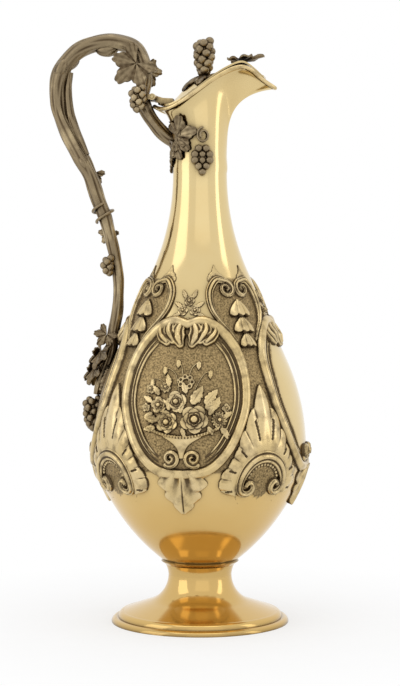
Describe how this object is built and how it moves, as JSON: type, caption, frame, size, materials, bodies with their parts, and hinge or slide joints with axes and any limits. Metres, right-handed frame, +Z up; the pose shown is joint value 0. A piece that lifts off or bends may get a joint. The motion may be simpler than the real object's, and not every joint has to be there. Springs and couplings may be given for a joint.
{
  "type": "wine ewer",
  "caption": "Gilt metal wine ewer: pear body with scroll, shell and flower relief, pedestal foot, spouted neck, vine-branch handle, and a hinged lid with a grape finial.",
  "frame": {"origin": "On the body's axis, in the plane the foot stands on.", "axes": "+Z up, +X towards the pouring spout, -X towards the handle, -Y towards the side seen in the picture."},
  "size_m": [0.1595, 0.1334, 0.3536],
  "materials": {
    "gilt_polished": "polished gilt silver, warm pale gold",
    "gilt_relief": "chased pale gilt with dark patina in the recesses",
    "antique_vine": "brown-grey antiqued gilt silver, textured as bark and leaf",
    "gilt_fittings": "plain gilt mouldings and hinge pieces"
  },
  "bodies": {
    "vessel": {"bell_drops_back_left": "gilt_relief", "bell_drops_back_right": "gilt_relief", "bell_drops_front_left": "gilt_relief", "bell_drops_front_right": "gilt_relief", "bowl_shell": "gilt_polished", "cartouche_crests": "gilt_relief", "cartouche_frame_back": "gilt_relief", "cartouche_frame_front": "gilt_relief", "cartouche_frame_handle": "gilt_relief", "cartouche_frame_spout": "gilt_relief", "cartouche_volutes": "gilt_relief", "flower_basket_back": "gilt_relief", "flower_basket_front": "gilt_relief", "flower_sprays": "gilt_relief", "foot_collar": "gilt_fittings", "foot_moulding": "gilt_fittings", "foot_pedestal": "gilt_polished", "handle_branch": "antique_vine", "handle_foot_grapes": "antique_vine", "handle_foot_leaf": "antique_vine", "handle_knots": "antique_vine", "handle_mid_grapes": "antique_vine", "handle_rear_leaf": "antique_vine", "handle_second_stem": "antique_vine", "handle_side_leaves": "antique_vine", "handle_tendril": "antique_vine", "handle_top_grapes": "antique_vine", "handle_top_leaf": "antique_vine", "hinge_bracket": "gilt_fittings", "hinge_pin": "gilt_fittings", "leaf_drop_back": "gilt_relief", "leaf_drop_front": "gilt_relief", "leaf_drop_handle": "gilt_relief", "leaf_drop_spout": "gilt_relief", "mouth_moulding": "gilt_fittings", "neck_and_spout": "gilt_polished", "neck_grapes": "antique_vine", "neck_leaves": "antique_vine", "neck_tendrils": "antique_vine", "shell_arches": "gilt_relief", "shell_back_left": "gilt_relief", "shell_back_right": "gilt_relief", "shell_front_left": "gilt_relief", "shell_front_right": "gilt_relief", "strap_pair_back_left": "gilt_relief", "strap_pair_back_right": "gilt_relief", "strap_pair_front_left": "gilt_relief", "strap_pair_front_right": "gilt_relief"},
    "lid": {"finial_grapes": "antique_vine", "finial_nut": "gilt_fittings", "finial_stem": "gilt_fittings", "lid_cover": "gilt_polished", "lid_flange": "gilt_fittings", "lid_hinge_leaf": "gilt_fittings", "lid_leaf": "antique_vine", "spout_leaf": "antique_vine"}
  },
  "joints": [
    {"name": "lid_hinge", "type": "hinge", "parent": "vessel", "child": "lid", "pos_m": [-0.0278, 0, 0.3137], "axis": [0, -1, 0], "range_deg": [0, 45]}
  ]
}
